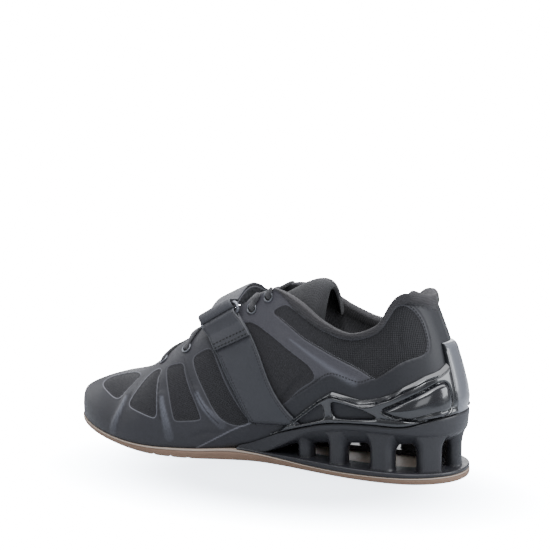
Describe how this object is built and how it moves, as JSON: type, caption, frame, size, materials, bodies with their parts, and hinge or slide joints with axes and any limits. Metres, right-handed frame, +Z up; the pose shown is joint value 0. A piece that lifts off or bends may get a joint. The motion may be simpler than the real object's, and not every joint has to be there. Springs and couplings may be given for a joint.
{
  "type": "weightlifting shoe",
  "caption": "Right weightlifting shoe with a raised open-frame heel, gloss heel cage, hollow fabric upper, strap through a wire ring, and laces over a padded tongue.",
  "frame": {"origin": "on the floor under the middle of the heel's round end, on the flat underside of the gum sole", "axes": "+X towards the toe, +Y towards the inner (medial) side of the foot, +Z up"},
  "size_m": [0.2918, 0.0945, 0.1251],
  "materials": {
    "outsole": "matt gum",
    "heel_frame": "satin moulded",
    "upper": "matt mesh with smooth panels",
    "insole": "matt",
    "tongue": "matt padded",
    "heel_cage": "gloss",
    "strap_ring": "satin",
    "strap_base": "smooth",
    "strap_pull": "matt webbing",
    "laces": "matt woven",
    "eyelet_medial_1": "satin",
    "eyelet_medial_2": "satin",
    "eyelet_medial_3": "satin",
    "eyelet_medial_4": "satin",
    "eyelet_lateral_1": "satin",
    "eyelet_lateral_2": "satin",
    "eyelet_lateral_3": "satin",
    "eyelet_lateral_4": "satin"
  },
  "bodies": {
    "root": {"outsole": "outsole", "heel_frame": "heel_frame", "upper": "upper", "insole": "insole", "tongue": "tongue", "heel_cage": "heel_cage", "strap_ring": "strap_ring", "strap_base": "strap_base", "strap_pull": "strap_pull", "laces": "laces", "eyelet_medial_1": "eyelet_medial_1", "eyelet_medial_2": "eyelet_medial_2", "eyelet_medial_3": "eyelet_medial_3", "eyelet_medial_4": "eyelet_medial_4", "eyelet_lateral_1": "eyelet_lateral_1", "eyelet_lateral_2": "eyelet_lateral_2", "eyelet_lateral_3": "eyelet_lateral_3", "eyelet_lateral_4": "eyelet_lateral_4"}
  },
  "joints": []
}
